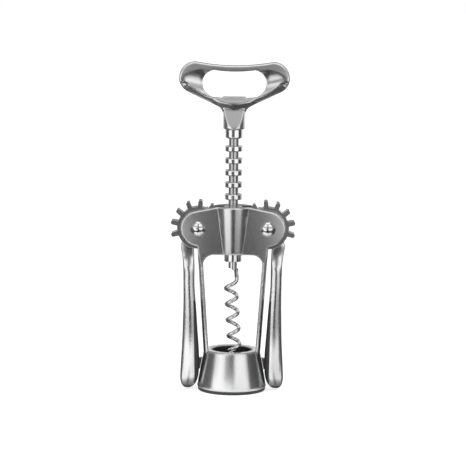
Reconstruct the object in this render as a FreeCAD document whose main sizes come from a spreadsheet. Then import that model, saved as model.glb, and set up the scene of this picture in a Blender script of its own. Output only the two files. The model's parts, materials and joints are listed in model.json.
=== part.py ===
import FreeCAD, Part
import math
import os
import re
import Sketcher

# Wing corkscrew, in millimetres. Z is up, X runs from one lever to the other, and the front
# faces -Y. The origin is at the centre of the bell's foot, on the surface that it stands on.

document = FreeCAD.newDocument("wing_corkscrew")
sheet = document.addObject("Spreadsheet::Sheet", "Sizes")

SIZES = {
    # lever pivots, gears and rack
    "pivot_offset": 20.2,
    "pivot_height": 95.5,
    "rack_pitch": 7.0,
    "gear_teeth": 13,
    "gear_phase": 2.0,
    "gear_root_radius": 12.2,
    "gear_tip_radius": 16.2,
    "gear_width": 7.2,
    "tooth_width": 2.6,
    "pin_radius": 2.5,
    "pin_clearance": 0.06,
    # ear plates, barrel and legs
    "plate_gap": 8.4,
    "plate_thickness": 3.2,
    "ear_radius": 10.1,
    "ear_slope": 11.1,
    "plate_top": 108.0,
    "arch_height": 80.1,
    "arch_radius": 6.3,
    "window_top_half": 17.26,
    "window_foot_half": 13.6,
    "leg_foot_half": 16.5,
    "leg_mid_half": 18.5,
    "leg_top_half": 20.6,
    "leg_mid_height": 52.0,
    "edge_rounding": 0.8,
    "notch_radius": 1.5,
    "barrel_top_radius": 11.6,
    "barrel_foot_radius": 9.2,
    "barrel_foot_rise": 0.95,
    "rack_bore_radius": 5.6,
    # bell and its liner
    "bell_height": 24.0,
    "bell_top_radius": 16.4,
    "bell_foot_radius": 20.0,
    "foot_height": 1.8,
    "foot_radius": 19.6,
    "liner_radius": 16.0,
    "neck_seat_radius": 14.9,
    "seat_height": 14.3,
    "mouth_radius": 12.0,
    "liner_wall": 1.0,
    # lever arm
    "lever_reach": 94.5,
    "grip_start": 43.0,
    "grip_end": 91.2,
    "grip_face_top": 2.4,
    "grip_face_foot": 1.35,
    "rib_thickness": 3.0,
    "rib_clearance": 0.1,
    "bumper_top": 18.8,
    "bumper_foot": 12.4,
    "bumper_thickness": 5.0,
    "bumper_gap": 0.2,
    # rivets
    "dome_radius": 4.3,
    "dome_height": 2.8,
    "dome_rim": 0.5,
    "tenon_radius": 1.6,
    "tenon_length": 1.4,
    "washer_radius": 8.0,
    "washer_thickness": 0.5,
    # rack shaft and collars
    "shaft_radius": 2.9,
    "ring_radius": 5.2,
    "ring_thickness": 3.1,
    "ring_count": 9,
    "collar_radius": 5.15,
    "collar_foot": 147.4,
    "collar_top": 152.8,
    "neck_radius": 2.4,
    "collar_clearance": 0.06,
    "end_collar_foot": 75.7,
    "end_collar_top": 80.8,
    # worm
    "worm_pitch": 9.35,
    "worm_radius": 3.2,
    "wire_radius": 1.18,
    "shank_radius": 2.6,
    "shank_foot": 66.4,
    "shank_top": 80.2,
    "worm_start_height": 64.5,
    "worm_lean": 0.0632,
    "worm_lean_middle": 29.4,
    "worm_side_offset": 1.15,
    "point_radius": 0.3,
    "scoop_radius": 3.6,
    "scoop_offset": 2.55,
    "scoop_height": 68.3,
    "cross_pin_radius": 0.8,
    # handle
    "hub_foot": 152.95,
    "hub_radius": 6.55,
    "handle_thickness": 8.0,
    "lobe_offset": 22.85,
    "lobe_height": 182.45,
    "lobe_radius": 9.1,
    "flank_slope": 25.3,
    "bevel_width": 3.2,
    "bevel_depth": 1.6,
    "dish_depth": 2.1,
    "dish_height": 179.0,
    "dish_half_width": 29.5,
    "bar_dip_height": 189.5,
    "dip_start": 1.6222,
    "handle_pin_radius": 1.25,
    "handle_pin_height": 159.0,
}

for row, (alias, number) in enumerate(SIZES.items(), start=1):
    sheet.set("A%d" % row, alias.replace("_", " "))
    sheet.set("B%d" % row, str(number))
    sheet.setAlias("B%d" % row, alias)
document.recompute()


def on_sheet(formula):
    """A formula in the size names, written the way the document's expressions want it."""
    return re.sub(r"\b([a-z]+(?:_[a-z]+)+)\b", r"Sizes.\1", str(formula))


def value(formula):
    return float(sheet.evalExpression(on_sheet(formula)))


def bind(target, path, formula):
    target.setExpression(path, on_sheet(formula))


# Building blocks: bodies, sketches and the features made from them

def new_body(name):
    body = document.addObject("PartDesign::Body", name)
    body.Label = name
    return body


def new_sketch(body, name, role, lift=None):
    """An empty sketch on one of the body's own origin planes, raised by a formula."""
    sketch = body.newObject("Sketcher::SketchObject", name)
    plane = next(item for item in body.Origin.OriginFeatures if item.Role == role)
    sketch.AttachmentSupport = [(plane, "")]
    sketch.MapMode = "FlatFace"
    if lift is not None:
        bind(sketch, "AttachmentOffset.Base.z", lift)
    return sketch


def pin_down(sketch, geometry, end, formula_u, formula_v):
    """Holds one end of a side at the place that two formulas give."""
    for kind, formula, axis in (("DistanceX", formula_u, -2), ("DistanceY", formula_v, -1)):
        number = value(formula)
        if abs(number) < 1e-7:
            sketch.addConstraint(Sketcher.Constraint("PointOnObject", geometry, end, axis))
        else:
            held = sketch.addConstraint(Sketcher.Constraint(kind, -1, 1, geometry, end, number))
            bind(sketch, "Constraints[%d]" % held, formula)


def outline(sketch, corners):
    """A closed outline. A corner is (u, v), or (u, v, through_u, through_v) where the side that
    leaves it is an arc through that second point."""
    places = []
    for corner in corners:
        places.append(FreeCAD.Vector(value(corner[0]), value(corner[1]), 0))
    starts = []
    ends = []
    for index, corner in enumerate(corners):
        here = places[index]
        there = places[(index + 1) % len(corners)]
        if len(corner) == 4:
            through = FreeCAD.Vector(value(corner[2]), value(corner[3]), 0)
            side = sketch.addGeometry(Part.Arc(here, through, there), False)
        else:
            side = sketch.addGeometry(Part.LineSegment(here, there), False)
        forward = sketch.getPoint(side, 1).distanceToPoint(here) < 1e-6
        starts.append((side, 1 if forward else 2))
        ends.append((side, 2 if forward else 1))
    for index, corner in enumerate(corners):
        following = starts[(index + 1) % len(corners)]
        sketch.addConstraint(Sketcher.Constraint("Coincident", *ends[index], *following))
    for index, corner in enumerate(corners):
        pin_down(sketch, starts[index][0], starts[index][1], corner[0], corner[1])


def circle(sketch, u, v, radius):
    side = sketch.addGeometry(
        Part.Circle(FreeCAD.Vector(value(u), value(v), 0), FreeCAD.Vector(0, 0, 1), value(radius)), False)
    held = sketch.addConstraint(Sketcher.Constraint("Radius", side, value(radius)))
    bind(sketch, "Constraints[%d]" % held, radius)
    pin_down(sketch, side, 3, u, v)


def mirrored_outline(half):
    """The full outline from its left half, whose corners run from top to foot."""
    other = []
    for index in range(len(half) - 1, -1, -1):
        corner = half[index]
        before = half[index - 1] if index > 0 else None
        place = ("-(%s)" % corner[0], corner[1])
        if before is not None and len(before) == 4:
            place += ("-(%s)" % before[2], before[3])
        other.append(place)
    return half + other


def settle(feature):
    """Works the feature out, and stops at the first one that fails."""
    document.recompute()
    if "Invalid" in feature.State or "Error" in feature.State:
        raise RuntimeError("feature failed: %s %s" % (feature.Name, feature.getStatusString()))
    if not feature.Shape.isValid():
        raise RuntimeError("feature's shape is not valid: " + feature.Name)
    return feature


def extrude(kind, body, sketch, length, symmetric=True, reversed_way=False):
    feature = body.newObject("PartDesign::" + kind, sketch.Name + "_" + kind.lower())
    feature.Profile = sketch
    if symmetric:
        feature.SideType = "Symmetric"
    feature.Reversed = reversed_way
    bind(feature, "Length", length)
    return settle(feature)


def turn(kind, body, sketch, axis="V_Axis"):
    feature = body.newObject("PartDesign::" + kind, sketch.Name + "_" + kind.lower())
    feature.Profile = sketch
    feature.ReferenceAxis = (sketch, [axis])
    feature.Angle = 360.0
    return settle(feature)


def ease_edges(kind, body, size, wanted, width=None):
    """Fillets or chamfers every edge of the body's newest shape that the test wants. A chamfer
    with a width goes down the wall by its size, and across the face by the width."""
    base = body.Tip
    names = []
    for number, edge in enumerate(base.Shape.Edges, start=1):
        if wanted(edge):
            names.append("Edge%d" % number)
    feature = body.newObject("PartDesign::" + kind, "eased_" + kind.lower())
    feature.Base = (base, names)
    bind(feature, "Radius" if kind == "Fillet" else "Size", size)
    if width is not None:
        feature.ChamferType = "Two distances"
        bind(feature, "Size2", width)
    return settle(feature)


def check_cut(body, volume_before):
    """A cut that points away from the solid takes nothing and shows no error."""
    if body.Shape.Volume > volume_before - 0.01:
        raise RuntimeError("cut took nothing from " + body.Label)


def cut(body, sketch, length, symmetric=True, reversed_way=False):
    before = body.Shape.Volume
    feature = extrude("Pocket", body, sketch, length, symmetric, reversed_way)
    check_cut(body, before)
    return feature


def groove(body, sketch, axis="V_Axis"):
    before = body.Shape.Volume
    feature = turn("Groove", body, sketch, axis)
    check_cut(body, before)
    return feature


# Frame casting: ear plates, barrel, legs and bell

def frame_casting():
    body = new_body("frame_casting")
    half_depth = "plate_gap / 2 + plate_thickness"

    tangent_u = "-(pivot_offset + ear_radius * sin(ear_slope))"
    tangent_v = "pivot_height + ear_radius * cos(ear_slope)"
    half = [
        ("%s + (plate_top - (%s)) / tan(ear_slope)" % (tangent_u, tangent_v), "plate_top"),
        (tangent_u, tangent_v, "-pivot_offset - ear_radius", "pivot_height"),
        ("-leg_top_half", "pivot_height - sqrt(ear_radius^2 - (leg_top_half - pivot_offset)^2)",
         "-leg_mid_half", "leg_mid_height"),
        ("-leg_foot_half", "bell_height - 2"),
    ]
    silhouette = new_sketch(body, "silhouette", "XZ_Plane")
    outline(silhouette, mirrored_outline(half))
    extrude("Pad", body, silhouette, "2 * (%s)" % half_depth)

    corner_mid_u = "-(window_top_half - arch_radius * (1 - cos(45)))"
    corner_mid_v = "arch_height - arch_radius * (1 - sin(45))"
    window_half = [
        ("-(window_top_half - arch_radius)", "arch_height", corner_mid_u, corner_mid_v),
        ("-window_top_half", "arch_height - arch_radius"),
        ("-window_foot_half", "bell_height - 4"),
    ]
    window = new_sketch(body, "window", "XZ_Plane")
    outline(window, mirrored_outline(window_half))
    cut(body, window, "100")

    face_depth = value(half_depth)

    def in_the_notch(edge):
        box = edge.BoundBox
        along_y = box.XLength < 1e-6 and box.ZLength < 1e-6
        return along_y and abs(abs(box.XMin) - value("leg_top_half")) < 0.01

    ease_edges("Fillet", body, "notch_radius", in_the_notch)

    def on_plate_face(edge):
        box = edge.BoundBox
        flat = abs(abs(box.YMin) - face_depth) < 1e-3 and box.YLength < 1e-3
        return flat and box.ZMax > value("bell_height")

    ease_edges("Fillet", body, "edge_rounding", on_plate_face)

    # the legs' outer faces are turned, so that they follow the bell's rim
    leg_skin = new_sketch(body, "leg_skin", "XZ_Plane")
    outline(leg_skin, [
        ("leg_foot_half + 0.1", "bell_height - 3"),
        ("leg_mid_half + 0.2", "leg_mid_height"),
        ("leg_mid_half + 1.5", "arch_height - arch_radius"),
        ("leg_top_half + 1.25", "pivot_height - ear_radius - 0.5"),
        ("leg_top_half + 20", "pivot_height - ear_radius - 0.5"),
        ("leg_top_half + 20", "bell_height - 3"),
    ])
    groove(body, leg_skin)

    barrel = new_sketch(body, "barrel", "XZ_Plane")
    outline(barrel, [
        ("0", "arch_height + barrel_foot_rise"),
        ("barrel_foot_radius", "arch_height + barrel_foot_rise"),
        ("barrel_top_radius", "plate_top - 0.5"),
        ("barrel_top_radius - 0.5", "plate_top"),
        ("0", "plate_top"),
    ])
    turn("Revolution", body, barrel)

    bell = new_sketch(body, "bell", "XZ_Plane")
    outline(bell, [
        ("liner_radius", "foot_height"),
        ("bell_foot_radius - 0.5", "foot_height", "bell_foot_radius - 0.1", "foot_height + 0.4"),
        ("bell_foot_radius", "foot_height + 1.2"),
        ("bell_top_radius", "bell_height - 1", "bell_top_radius - 0.25", "bell_height - 0.25"),
        ("bell_top_radius - 1", "bell_height"),
        ("mouth_radius + 0.4", "bell_height"),
        ("mouth_radius", "bell_height - 0.4"),
        ("mouth_radius", "seat_height + liner_wall"),
        ("liner_radius", "seat_height + liner_wall"),
    ])
    turn("Revolution", body, bell)

    gear_gap = new_sketch(body, "gear_gap", "YZ_Plane")
    outline(gear_gap, [
        ("-plate_gap / 2", "pivot_height - gear_tip_radius - 1"),
        ("plate_gap / 2", "pivot_height - gear_tip_radius - 1"),
        ("plate_gap / 2", "plate_top + 5"),
        ("-plate_gap / 2", "plate_top + 5"),
    ])
    cut(body, gear_gap, "100")

    rack_bore = new_sketch(body, "rack_bore", "XY_Plane", "arch_height - 5")
    circle(rack_bore, "0", "0", "rack_bore_radius")
    cut(body, rack_bore, "50", symmetric=False, reversed_way=True)

    pin_holes = new_sketch(body, "pin_holes", "XZ_Plane")
    circle(pin_holes, "-pivot_offset", "pivot_height", "pin_radius")
    circle(pin_holes, "pivot_offset", "pivot_height", "pin_radius")
    cut(body, pin_holes, "40")
    return body


# Neck liner: one black moulding that lines the bell and forms its foot

def neck_liner():
    body = new_body("neck_liner")
    profile = new_sketch(body, "liner_profile", "XZ_Plane")
    outline(profile, [
        ("neck_seat_radius + 1", "0"),
        ("foot_radius - 0.5", "0", "foot_radius - 0.15", "0.15"),
        ("foot_radius", "0.5"),
        ("foot_radius", "foot_height"),
        ("liner_radius", "foot_height"),
        ("liner_radius", "seat_height + liner_wall"),
        ("mouth_radius", "seat_height + liner_wall"),
        ("mouth_radius", "bell_height - 0.5"),
        ("mouth_radius - liner_wall", "bell_height - 0.5"),
        ("mouth_radius - liner_wall", "seat_height"),
        ("neck_seat_radius", "seat_height"),
        ("neck_seat_radius", "1.2"),
    ])
    turn("Revolution", body, profile)
    return body


# Levers and their grip inserts, each in a frame of its own with the pivot at the origin.
# Stations down the arm: share of the reach, then outer side, inner side, half depth, and the rise
# of the crown as a share of the half width. The arm is a flat web at the gear and crowned below it.
ARM_STATIONS = (
    (0.085, 9.2, 2.6, 3.30, 0.03),
    (0.130, 9.9, 2.4, 3.45, 0.03),
    (0.172, 9.2, 2.2, 3.55, 0.06),
    (0.210, 8.8, 2.1, 4.15, 0.16),
    (0.248, 8.6, 2.0, 4.80, 0.25),
    (0.300, 8.45, 2.0, 4.95, 0.25),
    (0.375, 8.35, 1.9, 5.00, 0.25),
    (0.455, 8.30, 1.3, 5.05, 0.25),
    (0.587, 8.55, 0.3, 5.15, 0.25),
    (0.714, 8.90, -0.6, 5.30, 0.25),
    (0.814, 9.40, -1.2, 5.45, 0.25),
    (0.889, 9.75, -1.15, 5.50, 0.25),
    (0.936, 9.80, -0.5, 5.20, 0.25),
    (0.966, 9.40, 0.6, 4.30, 0.25),
    (0.987, 8.50, 2.1, 3.10, 0.25),
    (1.000, 7.00, 4.2, 1.40, 0.25),
)
GRIP_FIRST = 7
GRIP_LAST = 13
CROWN_SHARE = 0.8


def crowned_section(sketch, middle, half_width, half_depth, crown):
    """A box whose front and back are arched by the crown's rise, with round corners beside them."""
    chord = CROWN_SHARE * half_width
    rise = crown * half_width
    crown_radius = (chord**2 + rise**2) / (2 * rise)
    lean = math.asin(chord / crown_radius)
    corner_radius = (half_width - chord) / (1 - math.sin(lean))
    corner_u = half_width - corner_radius
    corner_v = half_depth - rise - corner_radius * math.cos(lean)
    mid_angle = (lean + math.pi / 2) / 2
    mid_u = corner_u + corner_radius * math.sin(mid_angle)
    mid_v = corner_v + corner_radius * math.cos(mid_angle)
    shoulder = half_depth - rise
    outline(sketch, [
        (middle - chord, shoulder, middle, half_depth),
        (middle + chord, shoulder, middle + mid_u, mid_v),
        (middle + half_width, corner_v),
        (middle + half_width, -corner_v, middle + mid_u, -mid_v),
        (middle + chord, -shoulder, middle, -half_depth),
        (middle - chord, -shoulder, middle - mid_u, -mid_v),
        (middle - half_width, -corner_v),
        (middle - half_width, corner_v, middle - mid_u, mid_v),
    ])


def arm_loft(body, side, first, last, shrink=0.0):
    """The arm's full form between two stations; side is -1 for the left lever."""
    sections = []
    for index in range(first, last + 1):
        share, outer, inner, half_depth, crown = ARM_STATIONS[index]
        section = new_sketch(body, "station_%d" % index, "XY_Plane", "-lever_reach * %.3f" % share)
        middle = side * (outer + inner) / 2
        half_width = (outer - inner) / 2 - shrink
        crowned_section(section, middle, half_width, half_depth - shrink, crown)
        sections.append(section)
    loft = body.newObject("PartDesign::AdditiveLoft", "arm")
    loft.Profile = sections[0]
    loft.Sections = sections[1:]
    document.recompute()
    return loft


def lever(name, side):
    body = new_body(name)
    arm_loft(body, side, 0, len(ARM_STATIONS) - 1)

    disc = new_sketch(body, "gear_disc", "XZ_Plane")
    circle(disc, "0", "0", "gear_root_radius")
    extrude("Pad", body, disc, "gear_width")

    # the first tooth is the one below the mesh, and the others follow over the gear's top
    tooth = new_sketch(body, "tooth", "XZ_Plane")
    outline(tooth, [
        ("gear_root_radius - 2", "-tooth_width / 2 - 0.25"),
        ("gear_tip_radius - 0.8", "-tooth_width / 2", "gear_tip_radius", "0"),
        ("gear_tip_radius - 0.8", "tooth_width / 2"),
        ("gear_root_radius - 2", "tooth_width / 2 + 0.25"),
    ])
    if side < 0:
        bind(tooth, "AttachmentOffset.Rotation.Angle", "gear_phase - 360 / gear_teeth")
    else:
        bind(tooth, "AttachmentOffset.Rotation.Angle", "180 - gear_phase + 360 / gear_teeth")
    tooth_pad = extrude("Pad", body, tooth, "gear_width")
    teeth = body.newObject("PartDesign::PolarPattern", "teeth")
    teeth.Originals = [tooth_pad]
    teeth.Axis = (disc, ["N_Axis"])
    teeth.Reversed = side > 0
    teeth.Mode = "Extent"
    teeth_cut = 9
    bind(teeth, "Angle", "%d * 360 / gear_teeth" % (teeth_cut - 1))
    teeth.Occurrences = teeth_cut
    body.Tip = teeth
    document.recompute()

    bore = new_sketch(body, "pivot_bore", "XZ_Plane")
    circle(bore, "0", "0", "pin_radius + pin_clearance")
    cut(body, bore, "40")

    # the flat that the grip sits on, and the slot for the grip's rib
    flat = new_sketch(body, "grip_flat", "XZ_Plane")
    outline(flat, grip_face_corners(side, "-6"))
    cut(body, flat, "40")
    slot = new_sketch(body, "rib_slot", "XZ_Plane")
    outline(slot, rib_corners(side))
    cut(body, slot, "rib_thickness + 2 * rib_clearance")
    return body


def across(side, formula):
    """Outward from the pivot, towards the lever's own side."""
    return "%d * (%s)" % (side, formula)


def grip_face_corners(side, far):
    """What lies beyond the face where arm and grip meet, on the side that far names."""
    return [
        (across(side, "grip_face_top"), "-grip_start + 0.3"),
        (across(side, far), "-grip_start + 0.3"),
        (across(side, far), "-grip_end - 0.2"),
        (across(side, "grip_face_foot"), "-grip_end - 0.2"),
    ]


def rib_corners(side):
    """The rib under the grip, and the slot in the arm that takes it."""
    return [
        (across(side, "grip_face_top - 1.5"), "-grip_start - 8"),
        (across(side, "grip_face_top + 1.8"), "-grip_start - 8"),
        (across(side, "grip_face_foot + 2"), "-grip_end + 10"),
        (across(side, "grip_face_foot - 1.5"), "-grip_end + 10"),
    ]


def grip_insert(name, side):
    body = new_body(name)
    arm_loft(body, side, GRIP_FIRST, GRIP_LAST, shrink=0.05)
    outside = new_sketch(body, "arm_side", "XZ_Plane")
    outline(outside, grip_face_corners(side, "14"))
    cut(body, outside, "40")
    rib = new_sketch(body, "rib", "XZ_Plane")
    outline(rib, rib_corners(side))
    extrude("Pad", body, rib, "rib_thickness")

    # the bumper that rests beside the bell; its face follows the bell's cone, just clear of it
    bell_lean = "(bell_foot_radius - bell_top_radius) / (bell_height - foot_height - 2.2)"
    bell_gap = "pivot_offset - bell_top_radius - bumper_gap - (bell_height - 1 - %s) * " + bell_lean
    reach_top = "-(%s)" % (bell_gap % "bumper_top")
    reach_foot = "-(%s)" % (bell_gap % "bumper_foot")
    bumper = new_sketch(body, "bumper", "XZ_Plane")
    outline(bumper, [
        (across(side, "-0.4"), "bumper_top - 0.8 - pivot_height"),
        (across(side, reach_top), "bumper_top - pivot_height"),
        (across(side, reach_foot), "bumper_foot - pivot_height"),
        (across(side, "-0.4"), "bumper_foot + 0.5 - pivot_height"),
    ])
    extrude("Pad", body, bumper, "bumper_thickness")
    return body


# Rivets, their caps and the washers

PLATE_FACE = "(plate_gap / 2 + plate_thickness)"
DOME_RISE = "(dome_height - dome_rim)"
DOME_SPHERE = "((dome_radius^2 + %s^2) / (2 * %s))" % (DOME_RISE, DOME_RISE)
DOME_SHOULDER = "(dome_height - %s + sqrt(%s^2 - dome_radius^2 / 4))" % (DOME_SPHERE, DOME_SPHERE)


def pivot_pin(name):
    """A rivet with a domed head in front and a thinner end for its cap."""
    body = new_body(name)
    profile = new_sketch(body, "pin_profile", "XY_Plane")
    outline(profile, [
        ("0", "-%s - dome_height" % PLATE_FACE,
         "dome_radius / 2", "-%s - %s" % (PLATE_FACE, DOME_SHOULDER)),
        ("dome_radius", "-%s - dome_rim" % PLATE_FACE),
        ("dome_radius", "-" + PLATE_FACE),
        ("pin_radius", "-" + PLATE_FACE),
        ("pin_radius", PLATE_FACE),
        ("tenon_radius", PLATE_FACE),
        ("tenon_radius", PLATE_FACE + " + tenon_length"),
        ("0", PLATE_FACE + " + tenon_length"),
    ])
    turn("Revolution", body, profile)
    return body


def pin_cap(name):
    """The dome that closes the rivet at the back."""
    body = new_body(name)
    profile = new_sketch(body, "cap_profile", "XY_Plane")
    outline(profile, [
        ("dome_radius", PLATE_FACE),
        ("dome_radius", PLATE_FACE + " + dome_rim",
         "dome_radius / 2", "%s + %s" % (PLATE_FACE, DOME_SHOULDER)),
        ("0", PLATE_FACE + " + dome_height"),
        ("0", PLATE_FACE + " + tenon_length"),
        ("tenon_radius", PLATE_FACE + " + tenon_length"),
        ("tenon_radius", PLATE_FACE),
    ])
    turn("Revolution", body, profile)
    return body


def washer(name):
    """A thin ring on the rivet, lying on the inner face of one ear plate."""
    ring = document.addObject("Part::Cylinder", name + "_disc")
    bind(ring, "Radius", "washer_radius")
    bind(ring, "Height", "washer_thickness")
    hole = document.addObject("Part::Cylinder", name + "_hole")
    bind(hole, "Radius", "pin_radius + pin_clearance")
    bind(hole, "Height", "washer_thickness")
    body = document.addObject("Part::Cut", name)
    body.Base = ring
    body.Tool = hole
    body.Label = name
    return body


# Rack shaft with its rings and end collar

def rack_shaft():
    body = new_body("rack_shaft")
    mesh_height = "(pivot_height + gear_teeth * rack_pitch / 6.2831853 * sin(gear_phase))"
    lowest_ring = "(%s - 1.5 * rack_pitch)" % mesh_height

    core = new_sketch(body, "core", "XZ_Plane")
    outline(core, [
        ("0", "end_collar_foot"),
        ("ring_radius - 0.3", "end_collar_foot"),
        ("ring_radius", "end_collar_foot + 0.3"),
        ("ring_radius", "end_collar_top - 0.3"),
        ("ring_radius - 0.3", "end_collar_top"),
        ("shaft_radius", "end_collar_top"),
        ("shaft_radius", "collar_foot + 1"),
        ("neck_radius", "collar_foot + 1"),
        ("neck_radius", "hub_foot + 12"),
        ("0", "hub_foot + 12"),
    ])
    turn("Revolution", body, core)

    ring = new_sketch(body, "ring", "XZ_Plane")
    foot = "(%s - ring_thickness / 2)" % lowest_ring
    outline(ring, [
        ("shaft_radius - 0.5", foot),
        ("ring_radius - 0.5", foot),
        ("ring_radius", "%s + 0.5" % foot),
        ("ring_radius", "%s + ring_thickness - 0.3" % foot),
        ("ring_radius - 0.3", "%s + ring_thickness" % foot),
        ("shaft_radius - 0.5", "%s + ring_thickness" % foot),
    ])
    lowest = turn("Revolution", body, ring)
    rings = body.newObject("PartDesign::LinearPattern", "rings")
    rings.Originals = [lowest]
    rings.Direction = (ring, ["V_Axis"])
    rings.Mode = "Extent"
    bind(rings, "Length", "(ring_count - 1) * rack_pitch")
    rings.Occurrences = SIZES["ring_count"]
    body.Tip = rings
    document.recompute()

    socket = new_sketch(body, "worm_socket", "XY_Plane", "end_collar_foot - 1")
    circle(socket, "0", "0", "shank_radius")
    cut(body, socket, "shank_top - end_collar_foot + 1", symmetric=False, reversed_way=True)

    cross = new_sketch(body, "cross_holes", "YZ_Plane")
    circle(cross, "0", "(end_collar_foot + end_collar_top) / 2", "cross_pin_radius")
    circle(cross, "0", "handle_pin_height", "handle_pin_radius")
    cut(body, cross, "30")
    return body


def stop_collar():
    body = new_body("stop_collar")
    profile = new_sketch(body, "collar_profile", "XZ_Plane")
    outline(profile, [
        ("shaft_radius + collar_clearance", "collar_foot"),
        ("collar_radius - 1.4", "collar_foot"),
        ("collar_radius - 0.3", "collar_foot + 0.55"),
        ("collar_radius", "collar_foot + 1"),
        ("collar_radius", "collar_top - 0.2"),
        ("collar_radius - 0.2", "collar_top"),
        ("neck_radius + collar_clearance", "collar_top"),
        ("neck_radius + collar_clearance", "collar_foot + 1.1"),
        ("shaft_radius + collar_clearance", "collar_foot + 1.1"),
    ])
    turn("Revolution", body, profile)
    return body


def cross_pin(name, radius, half_length):
    """A plain pin with chamfered ends, standing on its own origin."""
    chamfer = 0.15
    pin = document.addObject("Part::Cylinder", name + "_rod")
    bind(pin, "Radius", radius)
    bind(pin, "Height", "2 * (%s)" % half_length)
    eased = document.addObject("Part::Chamfer", name)
    eased.Base = pin
    document.recompute()
    edges = []
    for number, edge in enumerate(pin.Shape.Edges, start=1):
        if edge.Closed and edge.BoundBox.ZLength < 1e-6:
            edges.append((number, chamfer, chamfer))
    eased.Edges = edges
    eased.Label = name
    return eased


# Worm: a shank, scooped away on one side, and a wound wire that leaves it on the other side

def worm_axis(height):
    """The wound part leans a little towards +X on its way down, as it does in the photograph."""
    return SIZES["worm_side_offset"] - (height - SIZES["worm_lean_middle"]) * SIZES["worm_lean"]


def worm_point(turn_degrees):
    """Centre line of the wire, wound clockwise on its way down, which makes it right-handed."""
    angle = math.radians(turn_degrees)
    height = SIZES["worm_start_height"] - SIZES["worm_pitch"] * turn_degrees / 360
    radius = SIZES["worm_radius"]
    return FreeCAD.Vector(worm_axis(height) + radius * math.cos(angle), -radius * math.sin(angle), height)


def worm_heading(turn_degrees):
    step = 0.01
    heading = worm_point(turn_degrees + step) - worm_point(turn_degrees - step)
    return heading.normalize()


def arc_between(start, corner, end):
    """The arc that touches both legs of a symmetric corner."""
    middle = (start + end) * 0.5
    half_chord = (end - start).Length / 2
    rise = (corner - middle).Length
    angle = math.atan2(rise, half_chord)
    top = middle + (corner - middle) * (math.tan(angle / 2) / math.tan(angle))
    return Part.Arc(start, top, end).toShape()


def biarc(start, start_heading, end, end_heading):
    """Two arcs that join two points and keep the heading at both."""
    span = end - start
    both = start_heading + end_heading
    square = 2 * (start_heading.dot(end_heading) - 1)
    linear = -2 * span.dot(both)
    constant = span.dot(span)
    root = math.sqrt(linear**2 - 4 * square * constant)
    reach = (-linear - root) / (2 * square)
    if reach < 0:
        reach = (-linear + root) / (2 * square)
    first_corner = start + start_heading * reach
    second_corner = end - end_heading * reach
    joint = (first_corner + second_corner) * 0.5
    return [arc_between(start, first_corner, joint), arc_between(joint, second_corner, end)]


def pipe(edges, radii):
    """A round tube along the edges; two radii taper it from one end to the other."""
    spine = Part.Wire(edges)
    shell = Part.BRepOffsetAPI.MakePipeShell(spine)
    ends = [(edges[0], edges[0].FirstParameter), (edges[-1], edges[-1].LastParameter)]
    for (edge, parameter), radius in zip(ends, radii):
        place = edge.valueAt(parameter)
        heading = edge.tangentAt(parameter)
        shell.add(Part.Wire(Part.makeCircle(radius, place, heading)))
    shell.build()
    shell.makeSolid()
    return shell.shape()


def worm():
    wire_radius = value("wire_radius")
    lead_in = FreeCAD.Vector(2.05, 0.25, 71.4)
    lead_heading = FreeCAD.Vector(0.05, 0.03, -1).normalize()
    first_turn = 50
    last_turn = 1790
    taper_turns = 180
    quarter = 87.0
    edges = biarc(lead_in, lead_heading, worm_point(first_turn), worm_heading(first_turn))
    steps = round((last_turn - taper_turns - first_turn) / quarter)
    step = (last_turn - taper_turns - first_turn) / steps
    for index in range(steps):
        here = first_turn + index * step
        there = here + step
        edges += biarc(worm_point(here), worm_heading(here), worm_point(there), worm_heading(there))
    wound = pipe(edges, [wire_radius])

    tip_edges = []
    here = last_turn - taper_turns
    for index in range(2):
        there = here + taper_turns / 2
        tip_edges += biarc(worm_point(here), worm_heading(here), worm_point(there), worm_heading(there))
        here = there
    point = pipe(tip_edges, [wire_radius, value("point_radius")])

    least_gap = measure_gap(first_turn, last_turn) - 2 * wire_radius
    print("worm: least gap between turns", round(least_gap, 2), "mm")
    length = sum(edge.Length for edge in edges)
    expected = math.pi * wire_radius**2 * length
    print("worm: wire volume", round(wound.Volume, 1), "mm3, expected", round(expected, 1))

    shank = Part.makeCylinder(
        value("shank_radius"), value("shank_top - shank_foot"), FreeCAD.Vector(0, 0, value("shank_foot")))
    scoop_x = -value("scoop_offset")
    scoop_z = value("scoop_height")
    scoop_radius = value("scoop_radius")
    scoop = Part.makeCylinder(
        scoop_radius, 20, FreeCAD.Vector(scoop_x, -10, scoop_z), FreeCAD.Vector(0, 1, 0))
    below = Part.makeBox(12, 20, 5, FreeCAD.Vector(scoop_x + scoop_radius - 12, -10, scoop_z - 5))
    shank = shank.cut(scoop).cut(below)
    hole = Part.makeCylinder(
        value("cross_pin_radius"), 20,
        FreeCAD.Vector(-10, 0, value("(end_collar_foot + end_collar_top) / 2")), FreeCAD.Vector(1, 0, 0))
    whole = shank.fuse([wound, point]).removeSplitter().cut(hole)
    feature = document.addObject("Part::Feature", "worm")
    feature.Label = "worm"
    feature.Shape = whole.Solids[0] if len(whole.Solids) == 1 else whole
    return feature


def measure_gap(first_turn, last_turn):
    """Least distance between the wire's centre line and the same line one turn on."""
    least = 1e9
    for turn_degrees in range(first_turn, last_turn - 360, 10):
        here = worm_point(turn_degrees)
        for ahead in range(270, 451, 5):
            if turn_degrees + ahead <= last_turn:
                least = min(least, here.distanceToPoint(worm_point(turn_degrees + ahead)))
    return least


# Handle: lobed plate with the cap hole, waisted neck with slanted facets, and the hub

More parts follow.
